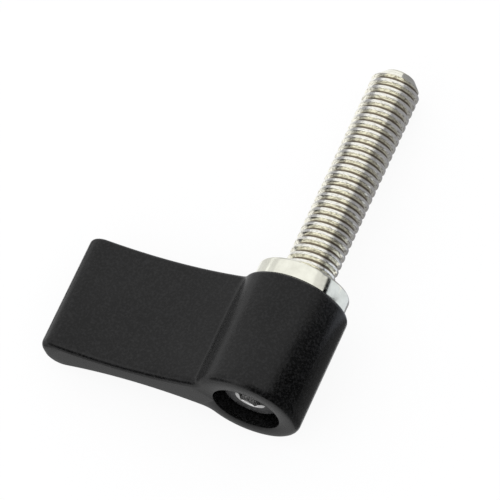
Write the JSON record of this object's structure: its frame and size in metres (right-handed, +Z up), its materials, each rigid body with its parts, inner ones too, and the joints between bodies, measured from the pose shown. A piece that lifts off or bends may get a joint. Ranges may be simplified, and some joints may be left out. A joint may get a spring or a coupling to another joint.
{
  "type": "thumb screw",
  "caption": "Thumb screw with a winged indexing lever, a plated collar and a threaded stud, lying as it rests; the lever lifts against a spring and turns to a new place.",
  "frame": {"origin": "middle of the underside of the whole screw's box, on the surface that it lies on", "axes": "+Z up from the surface; +Y along the stud as seen from above, the stud's end dipping 6.33 degrees below +Y; -X towards the wing's end"},
  "size_m": [0.0262, 0.0368, 0.0114],
  "materials": {
    "lever_black": "matte black, fine blasted grain",
    "plated_steel": "bright plated, thread rolled",
    "screw_steel": "black oxide, bright where the key has worn the socket's edge",
    "spring_steel": "drawn spring wire"
  },
  "bodies": {
    "stud": {"threaded_stud": "plated_steel", "retaining_screw": "screw_steel"},
    "coil": {"spring": "spring_steel"},
    "lever": {"lever": "lever_black"}
  },
  "joints": [
    {"name": "lever_turn", "type": "hinge", "parent": "stud", "child": "coil", "pos_m": [0.00798, -0.01789, 0.00637], "axis": [0, 0.9939, -0.1102], "continuous": true},
    {"name": "lever_lift", "type": "slide", "parent": "coil", "child": "lever", "axis": [0, -0.9939, 0.1102], "range_m": [0, 0.0024], "stiffness_N_per_m": 470, "springref_m": -0.004, "deforming": ["spring"]}
  ]
}
